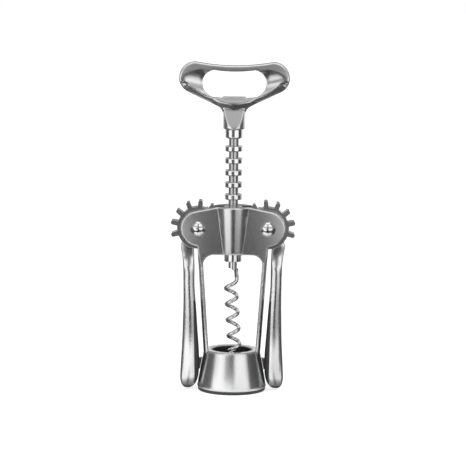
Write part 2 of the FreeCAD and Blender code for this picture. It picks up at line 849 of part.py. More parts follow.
def handle():
    body = new_body("handle")
    half_depth = "handle_thickness / 2"

    low_u = "lobe_offset + lobe_radius * sin(flank_slope)"
    low_v = "lobe_height - lobe_radius * cos(flank_slope)"
    waist_u = "hub_radius + 3.05"
    waist_v = "%s - (%s - (%s)) * tan(flank_slope)" % (low_v, low_u, waist_u)
    half = [
        ("-(lobe_offset - dip_start)", "lobe_height + sqrt(lobe_radius^2 - dip_start^2)",
         "-(lobe_offset + lobe_radius)", "lobe_height"),
        ("-(%s)" % low_u, low_v),
        ("-(%s)" % waist_u, waist_v, "-(hub_radius + 0.83)", "%s - 1.96" % waist_v),
        ("-hub_radius", "%s - 4.81" % waist_v),
        ("-hub_radius", "hub_foot + 5"),
    ]
    plate_outline = mirrored_outline(half)
    top_right = plate_outline[-1]
    plate_outline[-1] = (top_right[0], top_right[1], "0", "bar_dip_height")
    plate = new_sketch(body, "plate", "XZ_Plane")
    outline(plate, plate_outline)
    extrude("Pad", body, plate, "2 * (%s)" % half_depth)

    face_depth = value(half_depth)

    def on_handle_face(edge):
        box = edge.BoundBox
        return abs(abs(box.YMin) - face_depth) < 1e-3 and box.YLength < 1e-3 and box.ZMin > 158.2

    ease_edges("Chamfer", body, "bevel_depth", on_handle_face, "bevel_width")

    hub = new_sketch(body, "hub", "XZ_Plane")
    outline(hub, [
        ("0", "hub_foot"),
        ("hub_radius - 0.5", "hub_foot"),
        ("hub_radius", "hub_foot + 0.5"),
        ("hub_radius", "hub_foot + 15"),
        ("0", "hub_foot + 15"),
    ])
    turn("Revolution", body, hub)

    for face, sign in (("front", "-"), ("back", "")):
        facet = new_sketch(body, face + "_facet", "YZ_Plane")
        outline(facet, [
            ("%s(hub_radius + 0.15)" % sign, "hub_foot + 0.2"),
            ("%s(handle_thickness / 2 - 1.0)" % sign, "hub_foot + 10.5",
             "%s(handle_thickness / 2 - 0.9)" % sign, "hub_foot + 12.6"),
            ("%s(handle_thickness / 2 + 0.2)" % sign, "hub_foot + 15.2"),
            ("%s20" % sign, "hub_foot + 15.2"),
            ("%s20" % sign, "hub_foot + 0.2"),
        ])
        cut(body, facet, "60")

    hole_half = [
        ("-12", "lobe_height + 4.65", "-16.4", "lobe_height + 2.1"),
        ("-18.5", "lobe_height - 2.75", "-17.0", "lobe_height - 7.75"),
        ("-12.7", "lobe_height - 11.25"),
        ("-7.2", "lobe_height - 11.75"),
        ("-6.3", "lobe_height - 10.95"),
    ]
    hole_outline = mirrored_outline(hole_half)
    last = hole_outline[-1]
    hole_outline[-1] = (last[0], last[1], "0", "lobe_height + 3.75")
    cap_hole = new_sketch(body, "cap_hole", "XZ_Plane")
    outline(cap_hole, hole_outline)
    cut(body, cap_hole, "60")

    # shallow dishes in both faces, turned about lines in front of and behind the handle
    for face, sign in (("front", "-"), ("back", "")):
        dish = new_sketch(body, face + "_dish", "XY_Plane", "dish_height")
        axis_v = "%s(handle_thickness / 2 + 20)" % sign
        outline(dish, [
            ("-dish_half_width", axis_v),
            ("-dish_half_width", "%s(handle_thickness / 2)" % sign,
             "0", "%s(handle_thickness / 2 - dish_depth)" % sign),
            ("dish_half_width", "%s(handle_thickness / 2)" % sign),
            ("dish_half_width", axis_v),
        ])
        feature = body.newObject("PartDesign::Groove", face + "_dish_groove")
        feature.Profile = dish
        feature.ReferenceAxis = (dish, ["Edge4"])
        feature.Angle = 360.0
        before = body.Shape.Volume
        document.recompute()
        check_cut(body, before)

    bore = new_sketch(body, "shaft_bore", "XY_Plane", "hub_foot - 1")
    circle(bore, "0", "0", "neck_radius")
    cut(body, bore, "13", symmetric=False, reversed_way=True)
    cross = new_sketch(body, "pin_bore", "YZ_Plane")
    circle(cross, "0", "handle_pin_height", "handle_pin_radius")
    cut(body, cross, "30")
    return body


def place(part, x, y, z, turned=None):
    part.Placement = FreeCAD.Placement(
        FreeCAD.Vector(value(x), value(y), value(z)), turned or FreeCAD.Rotation())


# The whole corkscrew: each part, and where it goes

sub_parts = [frame_casting(), neck_liner()]

for side_name, side in (("left", -1), ("right", 1)):
    pivot_x = "%d * pivot_offset" % side
    swinging = [
        lever(side_name + "_lever", side),
        grip_insert(side_name + "_grip_insert", side),
        pivot_pin(side_name + "_pivot_pin"),
        pin_cap(side_name + "_pin_cap"),
    ]
    for part in swinging:
        place(part, pivot_x, "0", "pivot_height")
        sub_parts.append(part)
    faces = (("front", "-plate_gap / 2 + washer_thickness"), ("rear", "plate_gap / 2"))
    for face_name, face_y in faces:
        ring = washer("%s_%s_washer" % (side_name, face_name))
        place(ring, pivot_x, face_y, "pivot_height", FreeCAD.Rotation(FreeCAD.Vector(1, 0, 0), 90))
        sub_parts.append(ring)

sub_parts += [rack_shaft(), stop_collar(), worm(), handle()]

along_x = FreeCAD.Rotation(FreeCAD.Vector(0, 1, 0), 90)
worm_pin = cross_pin("worm_pin", "cross_pin_radius", "ring_radius - 0.15")
place(worm_pin, "-(ring_radius - 0.15)", "0", "(end_collar_foot + end_collar_top) / 2", along_x)
handle_pin = cross_pin("handle_pin", "handle_pin_radius", "hub_radius - 0.25")
place(handle_pin, "-(hub_radius - 0.25)", "0", "handle_pin_height", along_x)
sub_parts += [worm_pin, handle_pin]

document.recompute()

# Nothing is written unless every object of the document is sound

for item in document.Objects:
    if "Invalid" in item.State or "Error" in item.State:
        raise RuntimeError("failed object: %s %s" % (item.Name, item.State))
for part in sub_parts:
    if part.Shape.isNull() or not part.Shape.isValid():
        raise RuntimeError("bad shape: " + part.Label)

os.makedirs("parts", exist_ok=True)
for part in sub_parts:
    part.Shape.exportStep(os.path.join("parts", part.Label + ".step"))
    print("%-20s %2d solid, %9.1f mm3" % (part.Label, len(part.Shape.Solids), part.Shape.Volume))
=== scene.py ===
import json
import math

import bmesh
import bpy
import numpy as np
from mathutils import Matrix, Vector
from mathutils.geometry import delaunay_2d_cdt


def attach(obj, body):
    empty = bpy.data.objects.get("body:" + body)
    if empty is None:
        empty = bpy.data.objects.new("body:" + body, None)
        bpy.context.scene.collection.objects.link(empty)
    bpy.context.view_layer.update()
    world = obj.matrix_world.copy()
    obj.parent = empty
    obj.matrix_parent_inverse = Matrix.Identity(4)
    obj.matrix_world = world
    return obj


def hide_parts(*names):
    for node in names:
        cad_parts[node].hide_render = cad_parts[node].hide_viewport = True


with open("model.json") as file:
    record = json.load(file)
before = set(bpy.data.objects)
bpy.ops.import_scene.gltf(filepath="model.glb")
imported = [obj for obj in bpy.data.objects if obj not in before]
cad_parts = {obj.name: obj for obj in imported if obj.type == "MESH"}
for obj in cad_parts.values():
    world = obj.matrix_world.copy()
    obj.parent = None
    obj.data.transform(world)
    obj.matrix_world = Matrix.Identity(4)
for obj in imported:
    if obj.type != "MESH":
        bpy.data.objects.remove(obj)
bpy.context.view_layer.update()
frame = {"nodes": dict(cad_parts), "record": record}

scene = bpy.context.scene
scene.view_settings.view_transform = "Standard"


def add_object(name, data):
    thing = bpy.data.objects.new(name, data)
    scene.collection.objects.link(thing)
    return thing


# Camera: a long lens from the front, a little above the tool

CAMERA_AIM = (0.0, 0.0, 0.0922)
CAMERA_OFFSET = (0.0, -1.5, 0.209)
CAMERA_LENS_MM = 201.5
CAMERA_ROLL_DEGREES = 0.564


def add_camera():
    data = bpy.data.cameras.new("camera")
    data.sensor_width = 36.0
    data.lens = CAMERA_LENS_MM
    data.clip_start, data.clip_end = 0.05, 30.0
    camera = add_object("camera", data)
    back = Vector(CAMERA_OFFSET)
    camera.location = Vector(CAMERA_AIM) + back
    roll = Matrix.Rotation(math.radians(CAMERA_ROLL_DEGREES), 4, "Z")
    facing = (-back).to_track_quat("-Z", "Y").to_matrix().to_4x4()
    camera.rotation_euler = (facing @ roll).to_euler()
    scene.camera = camera


add_camera()


# Node helpers

MIX_A, MIX_B, MIX_RESULT = 6, 7, 2  # the colour sockets of a Mix node


def add_node(tree, kind, **settings):
    node = tree.nodes.new("ShaderNode" + kind)
    for name, setting in settings.items():
        setattr(node, name, setting)
    return node


def find_node(tree, kind):
    return next(node for node in tree.nodes if node.bl_idname == "ShaderNode" + kind)


def blank_material(name):
    material = bpy.data.materials.new(name)
    material.use_nodes = True
    tree = material.node_tree
    tree.nodes.clear()
    return material, tree, add_node(tree, "OutputMaterial")


def new_material(name):
    material, tree, output = blank_material(name)
    shader = add_node(tree, "BsdfPrincipled")
    tree.links.new(shader.outputs[0], output.inputs["Surface"])
    return material, tree, shader


def object_noise(tree, scale, detail):
    place = add_node(tree, "TexCoord")
    noise = add_node(tree, "TexNoise")
    noise.inputs["Scale"].default_value = scale
    noise.inputs["Detail"].default_value = detail
    tree.links.new(place.outputs["Object"], noise.inputs["Vector"])
    return noise.outputs["Fac"]


def object_axis(tree, axis):
    place = add_node(tree, "TexCoord")
    split = add_node(tree, "SeparateXYZ")
    tree.links.new(place.outputs["Object"], split.inputs[0])
    return split.outputs[axis]


def spread(tree, source, low, high, out_low, out_high):
    node = add_node(tree, "MapRange")
    limits = (("From Min", low), ("From Max", high), ("To Min", out_low), ("To Max", out_high))
    for socket, number in limits:
        node.inputs[socket].default_value = number
    tree.links.new(source, node.inputs["Value"])
    return node.outputs["Result"]


def math_node(tree, operation, first, second=0.0):
    node = add_node(tree, "Math", operation=operation)
    for socket, source in zip(node.inputs, (first, second)):
        if isinstance(source, (int, float)):
            socket.default_value = source
        else:
            tree.links.new(source, socket)
    return node.outputs[0]


def clouded(tree, shader, cloud, color, dark_share):
    """The base colour drifts softly between two close levels."""
    tint = add_node(tree, "Mix", data_type="RGBA")
    tree.links.new(cloud, tint.inputs["Factor"])
    tint.inputs[MIX_A].default_value = (*[level * dark_share for level in color], 1)
    tint.inputs[MIX_B].default_value = (*color, 1)
    tree.links.new(tint.outputs[MIX_RESULT], shader.inputs["Base Color"])


def roughened(tree, shader, noise, rough_low, rough_high):
    """Roughness between two levels; noise mostly stays between 0.3 and 0.7."""
    roughness = spread(tree, noise, 0.3, 0.7, rough_low, rough_high)
    tree.links.new(roughness, shader.inputs["Roughness"])


def grained(tree, shader, noise, strength, distance):
    lift = add_node(tree, "Bump")
    lift.inputs["Strength"].default_value = strength
    lift.inputs["Distance"].default_value = distance
    tree.links.new(noise, lift.inputs["Height"])
    tree.links.new(lift.outputs["Normal"], shader.inputs["Normal"])
    return lift


# Materials, in metres

METAL_GRAIN = 0.000003
METAL_EDGE = 0.0003
PLASTIC_GRAIN = 0.0001
EAR_ROUNDING = 0.38
EAR_EDGE, LEG_EDGE = 0.0006, 0.0016
BARREL_HALF = 0.006
CORE_RADIUS = 0.0030
# darker base colour for the rack shaft's core: painted shade where the rings shade it
CORE_SHADE_COLOR = (0.38, 0.38, 0.385, 1)
ZINC = (0.60, 0.60, 0.605)
STEEL = (0.60, 0.60, 0.61)


def metal(name, color, rough_low, rough_high, bump):
    material, tree, shader = new_material(name)
    shader.inputs["Metallic"].default_value = 1.0
    cloud = object_noise(tree, 60, 4)
    fine = object_noise(tree, 2500, 2)
    clouded(tree, shader, cloud, color, 0.94)
    roughened(tree, shader, fine, rough_low, rough_high)
    lift = grained(tree, shader, fine, bump, METAL_GRAIN)
    rounded = add_node(tree, "Bevel", samples=4)
    rounded.inputs["Radius"].default_value = METAL_EDGE
    tree.links.new(rounded.outputs[0], lift.inputs["Normal"])
    return material


def plastic(name, color, rough_low, rough_high):
    material, tree, shader = new_material(name)
    fine = object_noise(tree, 1800, 3)
    cloud = object_noise(tree, 90, 3)
    clouded(tree, shader, cloud, color, 0.85)
    roughened(tree, shader, cloud, rough_low, rough_high)
    grained(tree, shader, fine, 0.15, PLASTIC_GRAIN)
    return material


def rounded_faces(material):
    """Swells the ears' flat faces by a hair, highest beside the barrel, as a cast plate is, and
    rounds the edges more on the legs than on the ears."""
    tree = material.node_tree
    lift = find_node(tree, "BsdfPrincipled").inputs["Normal"].links[0].from_node
    bevel = lift.inputs["Normal"].links[0].from_node
    from_middle = math_node(tree, "ABSOLUTE", object_axis(tree, "X"))
    away = math_node(tree, "SUBTRACT", from_middle, BARREL_HALF)
    away = math_node(tree, "MAXIMUM", away, 0.0)
    square = math_node(tree, "MULTIPLY", away, away)
    sag = math_node(tree, "MULTIPLY", square, -1 / (2 * EAR_ROUNDING))
    height = object_axis(tree, "Z")
    on_ears = spread(tree, height, 0.070, 0.082, 0, 1)
    swell = add_node(tree, "Bump")
    swell.inputs["Distance"].default_value = 1.0
    tree.links.new(math_node(tree, "MULTIPLY", sag, on_ears), swell.inputs["Height"])
    edge = spread(tree, height, 0.072, 0.084, LEG_EDGE, EAR_EDGE)
    tree.links.new(edge, bevel.inputs["Radius"])
    tree.links.new(bevel.outputs[0], swell.inputs["Normal"])
    tree.links.new(swell.outputs["Normal"], lift.inputs["Normal"])


def paint_core_shade(material):
    """Paints shade on the turned steel between the rings as a darker base colour on the shaft's
    core; the core's rougher finish there is the steel's own.
    """
    tree = material.node_tree
    shader = find_node(tree, "BsdfPrincipled")
    x = object_axis(tree, "X")
    y = object_axis(tree, "Y")
    x_square = math_node(tree, "MULTIPLY", x, x)
    y_square = math_node(tree, "MULTIPLY", y, y)
    from_axis = math_node(tree, "SQRT", math_node(tree, "ADD", x_square, y_square))
    outward = spread(tree, from_axis, CORE_RADIUS, CORE_RADIUS + 0.0006, 0, 1)
    # painted shade: the core between the rings gets the darker colour
    shade_mix = add_node(tree, "Mix", data_type="RGBA")
    shade_mix.inputs[MIX_A].default_value = CORE_SHADE_COLOR
    tree.links.new(outward, shade_mix.inputs["Factor"])
    tree.links.new(shader.inputs["Base Color"].links[0].from_socket, shade_mix.inputs[MIX_B])
    tree.links.new(shade_mix.outputs[MIX_RESULT], shader.inputs["Base Color"])
    tree.links.new(spread(tree, outward, 0, 1, 0.22, 0.09), shader.inputs["Roughness"])


materials = {
    "satin_casting": metal("satin_casting", ZINC, 0.19, 0.22, bump=0.03),
    "polished_steel": metal("polished_steel", STEEL, 0.06, 0.09, bump=0.02),
    "worm_steel": metal("worm_steel", (0.58, 0.58, 0.59), 0.14, 0.18, bump=0.06),
    "black_plastic": plastic("black_plastic", (0.022, 0.022, 0.023), 0.38, 0.5),
    "washer_plastic": plastic("washer_plastic", (0.70, 0.69, 0.65), 0.4, 0.5),
}
frame_metal = metal("frame_casting", ZINC, 0.21, 0.25, bump=0.06)
rounded_faces(frame_metal)
rack_metal = metal("rack_shaft", STEEL, 0.08, 0.1, bump=0.02)
# painted shade on the shaft's core between the rings
paint_core_shade(rack_metal)
own_materials = {"frame_casting": frame_metal, "rack_shaft": rack_metal}
slots = {row["node"]: row["material_slot"] for row in frame["record"]["subparts"]}
for node_name, node in frame["nodes"].items():
    node.data.materials.clear()
    node.data.materials.append(own_materials.get(node_name, materials[slots[node_name]]))


# Handle: the same plate, hub and cap hole as the CAD node, with its bevels, dishes and neck blended
# into each other as a casting has them. Lengths are in millimetres as far as handle_mesh, which
# scales them to metres.

LOBE = (-22.85, 182.45)
LOBE_RADIUS = 9.1
TOP = 191.545  # the CAD box's top, which the lobes just reach
DIP_START = 1.6222
DIP_BOTTOM = 189.5
FLANK_DEGREES = 25.3
HUB_RADIUS = 6.55
HUB_FOOT = 152.95
HUB_CHAMFER = 0.5
FACE = 4.0

# the bevel round the plate, and how much narrower and flatter it is along the top and at the neck
BEVEL_WIDTH, TOP_NARROWER, NECK_NARROWER = 5.4, 2.2, 1.8
BEVEL_SLOPE, TOP_FLATTER, NECK_FLATTER = 0.5, 0.45, 0.08
NECK_FOOT = 161.7
NECK_SLOPE = 0.476
NECK_BEND = 3.0

# the dishes: (distance from the middle, height of the trough's axis) and (distance, extra depth)
DISH_RADIUS = 15.0
DISH_AXIS = ((0, 175.1), (6, 175.4), (11.1, 176.1), (14, 176.9),
             (17.4, 178.4), (20, 179.1), (26.6, 180.7), (30, 181.5))
DISH_SCOOP = ((0, 1.4), (8, 1.8), (16, 2.5), (18, 2.5), (26.6, 0.6), (29.6, 0.0), (33, -0.6))

# the slanted facets on the hub, half the thickness left above them and how they widen below
FACET_TOP = 165.1
FACET_HALF = 2.46
FACET_SLOPE = 0.36
FACET_BEND = 0.6

# mesh spacing: a grid, and rings that follow the outline and the hole
GRID_STEP = 0.42
GRID_MARGIN = 1.2
RING_OFFSETS = (0.03, 0.1, 0.22, 0.4, 0.65, 0.95)

# bores for the rack shaft and the cross pin, in metres
SHAFT_BORE = {"radius": 0.0024, "length": 0.026, "centre": (0, 0, 0.1523)}
PIN_BORE = {"radius": 0.00125, "length": 0.030, "centre": (0, 0, 0.159)}


def arc_through(first, middle, last, spacing=0.5):
    """Points from first up to, but not with, last on the arc through middle."""
    ax, az = first
    bx, bz = middle
    cx, cz = last
    a, b, c = ax**2 + az**2, bx**2 + bz**2, cx**2 + cz**2
    d = 2 * (ax * (bz - cz) + bx * (cz - az) + cx * (az - bz))
    ux = (a * (bz - cz) + b * (cz - az) + c * (az - bz)) / d
    uz = (a * (cx - bx) + b * (ax - cx) + c * (bx - ax)) / d
    radius = math.hypot(ax - ux, az - uz)
    start = math.atan2(az - uz, ax - ux)
    through = math.atan2(bz - uz, bx - ux)
    stop = math.atan2(cz - uz, cx - ux)
    sweep = (stop - start) % math.tau
    if (through - start) % math.tau > sweep:
        sweep -= math.tau
    count = max(2, round(abs(sweep) * radius / spacing))
    angles = [start + sweep * index / count for index in range(count)]
    return [(ux + radius * math.cos(angle), uz + radius * math.sin(angle)) for angle in angles]


def line_from(first, last, spacing=0.5):
    """Points from first up to, but not with, last."""
    count = max(1, round(math.dist(first, last) / spacing))
    return [tuple(a + (b - a) * index / count for a, b in zip(first, last))
            for index in range(count)]


def handle_outlines():
    """The plate's outer line and the cap hole's line, each as a closed row of (x, z)."""
    slope = math.radians(FLANK_DEGREES)
    low = (LOBE[0] - LOBE_RADIUS * math.sin(slope), LOBE[1] - LOBE_RADIUS * math.cos(slope))
    waist_x = -(HUB_RADIUS + 3.05)
    waist = (waist_x, low[1] - (waist_x - low[0]) * math.tan(slope))
    neck = (-HUB_RADIUS, waist[1] - 4.81)
    hub_side = (-HUB_RADIUS, HUB_FOOT + HUB_CHAMFER)
    hub_corner = (-HUB_RADIUS + HUB_CHAMFER, HUB_FOOT)
    top = (LOBE[0] + DIP_START, LOBE[1] + math.sqrt(LOBE_RADIUS**2 - DIP_START**2))
    left = arc_through(top, (LOBE[0] - LOBE_RADIUS, LOBE[1]), low)
    left += line_from(low, waist)
    left += arc_through(waist, (-(HUB_RADIUS + 0.83), waist[1] - 1.96), neck)
    left += line_from(neck, hub_side)
    left += line_from(hub_side, hub_corner, 0.2)
    left += line_from(hub_corner, (0, HUB_FOOT))
    right = [(-x, z) for x, z in reversed(left[1:])]
    dip = arc_through((-top[0], top[1]), (0, DIP_BOTTOM), top)
    outer = left + [(0, HUB_FOOT)] + right + dip

    # the hole's left half, as (x, height above the lobes' centre), with the cap lip at its foot
    shoulder, side, foot = (-12, 4.65), (-18.5, -2.75), (-12.7, -11.25)
    lip_foot, lip, lip_middle = (-7.2, -11.75), (-6.3, -10.95), (0, -10.95)
    bends = ((shoulder, (-16.4, 2.1), side), (side, (-17.0, -7.75), foot))
    hole = []
    for bend in bends:
        hole += arc_through(*[(x, LOBE[1] + rise) for x, rise in bend])
    for first, last in ((foot, lip_foot), (lip_foot, lip), (lip, lip_middle)):
        hole += line_from((first[0], LOBE[1] + first[1]), (last[0], LOBE[1] + last[1]))
    other = [(-x, z) for x, z in reversed(hole[1:])]
    bar_height = LOBE[1] + shoulder[1]
    bar = arc_through((-shoulder[0], bar_height), (0, LOBE[1] + 3.75), (shoulder[0], bar_height))
    return outer, hole + [(0, LOBE[1] + lip_middle[1])] + other + bar


def nearest(places, line):
    """Distance to a closed line, and how far upward the line faces at its nearest point."""
    best = np.full(len(places), 1e9)
    upward = np.zeros(len(places))
    for start, stop in zip(line, np.roll(line, -1, axis=0)):
        along = stop - start
        share = np.clip(((places - start) @ along) / (along @ along), 0, 1)
        offset = start + share[:, None] * along - places
        distance = np.hypot(offset[:, 0], offset[:, 1])
        closer = distance < best
        best = np.where(closer, distance, best)
        upward = np.where(closer, -along[0] / np.hypot(*along), upward)
    return best, upward


def inside(places, line):
    """Which places lie within a closed line."""
    hits = np.zeros(len(places), dtype=bool)
    x, z = places[:, 0], places[:, 1]
    for start, stop in zip(line, np.roll(line, -1, axis=0)):
        if start[1] == stop[1]:
            continue
        crosses = (start[1] > z) != (stop[1] > z)
        at = start[0] + (z - start[1]) * (stop[0] - start[0]) / (stop[1] - start[1])
        hits ^= crosses & (x < at)
    return hits


def on_plate(places, outer, hole, margin):
    """Which places lie on the plate and keep a margin from its outline and its hole."""
    near, _ = nearest(places, outer)
    near_hole, _ = nearest(places, hole)
    on = inside(places, outer) & ~inside(places, hole)
    return on & (near > margin) & (near_hole > margin)


def soft_min(first, second, blend):
    low = np.minimum(first, second)
    return low - blend * np.log1p(np.exp(-np.abs(first - second) / blend))


def ramp(value, start, stop):
    """0 at start, 1 at stop and straight between them."""
    return np.clip((value - start) / (stop - start), 0, 1)


def smooth(share):
    return share * share * (3 - 2 * share)


def eased(value, curve):
    """A curve through given points with its corners softened."""
    places, heights = zip(*curve)
    steps = (-2.4, -1.6, -0.8, 0, 0.8, 1.6, 2.4)
    return sum(np.interp(value + step, places, heights) for step in steps) / len(steps)


def round_off(distance, radius):
    """How far a rounded rim falls back near its edge."""
    within = np.clip(radius - distance, 0, radius)
    return radius - np.sqrt(radius**2 - within**2)


def handle_depth(places, outer, hole):
    """Half the handle's thickness over each place of its plan."""
    x, z = places[:, 0], places[:, 1]
    side = np.abs(x)
    edge, upward = nearest(places, outer)
    rim, _ = nearest(places, hole)

    # across the neck the flanks' bevel follows one smooth curve instead of the outline
    curve = np.sqrt(x**2 + NECK_BEND**2)
    lean = np.hypot(1, NECK_SLOPE * x / curve)
    above_curve = (z - NECK_FOOT - NECK_SLOPE * curve) / lean
    neck = smooth(ramp(side, 13.0, 8.0) * ramp(z, 173.0, 172.0))
    along_top = smooth(ramp(upward, -0.75, -0.05)) * (1 - neck)

    slope = BEVEL_SLOPE - TOP_FLATTER * along_top - NECK_FLATTER * neck
    width = BEVEL_WIDTH - TOP_NARROWER * along_top - NECK_NARROWER * neck
    bevel_edge = edge + (above_curve - edge) * neck
    bevel = FACE - width * slope + slope * bevel_edge

    trough = DISH_RADIUS + eased(side, DISH_SCOOP)
    reach = np.maximum(trough**2 - (z - eased(side, DISH_AXIS))**2, 1.0)
    dish = np.minimum(FACE + DISH_RADIUS - np.sqrt(reach), 8.0)
    plate = soft_min(soft_min(bevel, dish, 0.16), FACE + 0.12, 0.10)
    # the top bar's face turns down towards the hole
    plate -= 0.020 * np.maximum(2.9 - rim, 0)**2 * ramp(z, 182.0, 185.0)

    hub_radius = np.minimum(HUB_RADIUS, HUB_RADIUS - HUB_CHAMFER + (z - HUB_FOOT))
    hub = np.sqrt(np.maximum(hub_radius**2 - x**2, 0))
    below = FACET_TOP - z
    facet = FACET_HALF + FACET_SLOPE * (below + np.sqrt(below**2 + FACET_BEND**2)) / 2
    hub = soft_min(hub, facet, 0.06) * ramp(z, 169.0, 167.0)

    depth = -soft_min(-plate, -hub, 0.12)
    wall_round = np.where(z > 160.5, round_off(edge, 0.7 + 0.4 * along_top), 0.0)
    return np.maximum(depth - wall_round - round_off(rim, 0.45), 0.0)


def handle_plan(outer, hole):
    """The points of the handle's plan and the triangles between them."""
    borders = [outer, hole]
    kept = []
    for line in borders:
        along = np.roll(line, -1, axis=0) - np.roll(line, 1, axis=0)
        normal = np.stack((-along[:, 1], along[:, 0]), axis=1)
        normal /= np.hypot(normal[:, 0], normal[:, 1])[:, None]
        for offset in RING_OFFSETS:
            for way in (1, -1):
                ring = line + way * offset * normal
                kept.append(ring[on_plate(ring, outer, hole, offset * 0.8)])
    across = np.arange(-32, 32.01, GRID_STEP)
    upright = np.arange(HUB_FOOT, 192.0, GRID_STEP)
    grid = np.array([(x, z) for z in upright for x in across])
    kept.append(grid[on_plate(grid, outer, hole, GRID_MARGIN)])
    plan = np.concatenate(borders + kept)
    edges = []
    first = 0
    for line in borders:
        count = len(line)
        edges += [(first + index, first + (index + 1) % count) for index in range(count)]
        first += count
    corners, _, triangles, *_ = delaunay_2d_cdt(
        [Vector(place) for place in plan], edges, [], 0, 1e-6)
    plan = np.array([tuple(corner) for corner in corners])
    middles = np.array([plan[list(triangle)].mean(axis=0) for triangle in triangles])
    good = inside(middles, outer) & ~inside(middles, hole)
    return plan, [tuple(triangle) for triangle, keep in zip(triangles, good) if keep]


def handle_mesh():
    outer, hole = (np.array(line) for line in handle_outlines())
    plan, triangles = handle_plan(outer, hole)
    depth = handle_depth(plan, outer, hole)
    count = len(plan)
    plan[:, 1] = np.minimum(plan[:, 1], TOP)
    points = [(x, -deep, z) for (x, z), deep in zip(plan, depth)]
    points += [(x, deep, z) for (x, z), deep in zip(plan, depth)]
    faces = []
    sides = {}  # a dict keeps its order, which a set doesn't
    for a, b, c in triangles:
        faces.append((a, b, c))
        faces.append((count + c, count + b, count + a))
        sides.update(dict.fromkeys(((a, b), (b, c), (c, a))))
    for start, stop in sides:
        if (stop, start) not in sides:
            faces.append((stop, start, count + start, count + stop))
    mesh = bpy.data.meshes.new("cast_handle")
    mesh.from_pydata([tuple(value / 1000 for value in point) for point in points], [], faces)
    work = bmesh.new()
    work.from_mesh(mesh)
    bmesh.ops.remove_doubles(work, verts=work.verts, dist=1e-7)
    loose = [corner for corner in work.verts if not corner.link_faces]
    bmesh.ops.delete(work, geom=loose, context="VERTS")
    bmesh.ops.recalc_face_normals(work, faces=work.faces)
    work.to_mesh(mesh)
    work.free()
    return mesh


def drilled(thing, bore, turned):
    """Takes a round bore out of a piece."""
    radius = bore["radius"]
    place = Matrix.Translation(Vector(bore["centre"])) @ turned
    work = bmesh.new()
    bmesh.ops.create_cone(work, segments=48, radius1=radius, radius2=radius,
                          depth=bore["length"], cap_ends=True)
    bmesh.ops.transform(work, matrix=place, verts=work.verts)
    tool_mesh = bpy.data.meshes.new("drill")
    work.to_mesh(tool_mesh)
    work.free()
    tool = add_object("drill", tool_mesh)
    cut = thing.modifiers.new("cut", "BOOLEAN")
    cut.operation = "DIFFERENCE"
    cut.object = tool
    bpy.context.view_layer.update()
    seen = thing.evaluated_get(bpy.context.evaluated_depsgraph_get())
    mesh = bpy.data.meshes.new_from_object(seen)
    thing.modifiers.clear()
    thing.data = mesh
    bpy.data.objects.remove(tool)


def cast_handle():
    thing = add_object("cast_handle", handle_mesh())
    drilled(thing, SHAFT_BORE, Matrix.Identity(4))
    drilled(thing, PIN_BORE, Matrix.Rotation(math.radians(90), 4, "Y"))
    mesh = thing.data
    mesh.materials.clear()
    mesh.materials.append(materials["satin_casting"])
    mesh.polygons.foreach_set("use_smooth", [True] * len(mesh.polygons))
    mesh.set_sharp_from_angle(angle=math.radians(48))
    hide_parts("handle")
    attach(thing, "screw")


cast_handle()


# Studio: white floor and background, two soft boxes in front, and glowing cards that give the metal
# its light and dark bands. Only reflections see the cards.

STUDIO_RADIUS = 0.42
FAR = STUDIO_RADIUS
CARD_PEAK = 2.0
CARD_STEP_DEGREES = 6
CEILING_HEIGHT = 1.0
FLOOR_HALF = 4.0
FLOOR_COLOR = (0.92, 0.92, 0.92, 1)
FLOOR_GLOW = 0.6
FILL_LIGHT = 0.55


def seen_rays(tree):
    """1 for the rays that see the background: from the camera, off a mirror or through glass."""
    path = add_node(tree, "LightPath").outputs
    either = math_node(tree, "MAXIMUM", path["Is Camera Ray"], path["Is Glossy Ray"])
    return math_node(tree, "MAXIMUM", either, path["Is Transmission Ray"])


def add_world():
    world = bpy.data.worlds.new("studio")
    scene.world = world
    world.use_nodes = True
    tree = world.node_tree
    tree.nodes.clear()
    output = add_node(tree, "OutputWorld")
    white = add_node(tree, "Background")
    white.inputs["Color"].default_value = (1, 1, 1, 1)
    fill = add_node(tree, "Background")
    fill.inputs["Color"].default_value = (1, 1, 1, 1)
    fill.inputs["Strength"].default_value = FILL_LIGHT
    mix = add_node(tree, "MixShader")
    tree.links.new(seen_rays(tree), mix.inputs[0])
    tree.links.new(fill.outputs[0], mix.inputs[1])
    tree.links.new(white.outputs[0], mix.inputs[2])
    tree.links.new(mix.outputs[0], output.inputs["Surface"])


def floor_material():
    material, tree, shader = new_material("floor")
    shader.inputs["Base Color"].default_value = FLOOR_COLOR
    shader.inputs["Roughness"].default_value = 0.8
    glow = add_node(tree, "Emission")
    glow.inputs["Strength"].default_value = FLOOR_GLOW
    both = add_node(tree, "AddShader")
    mix = add_node(tree, "MixShader")
    tree.links.new(shader.outputs[0], both.inputs[0])
    tree.links.new(glow.outputs[0], both.inputs[1])
    tree.links.new(seen_rays(tree), mix.inputs[0])
    tree.links.new(shader.outputs[0], mix.inputs[1])
    tree.links.new(both.outputs[0], mix.inputs[2])
    tree.links.new(mix.outputs[0], find_node(tree, "OutputMaterial").inputs["Surface"])
    return material


def add_floor():
    signs = ((-1, -1), (1, -1), (1, 1), (-1, 1))
    mesh = bpy.data.meshes.new("floor")
    mesh.from_pydata([(FLOOR_HALF * x, FLOOR_HALF * y, 0) for x, y in signs], [], [(0, 1, 2, 3)])
    mesh.materials.append(floor_material())
    thing = add_object("floor", mesh)


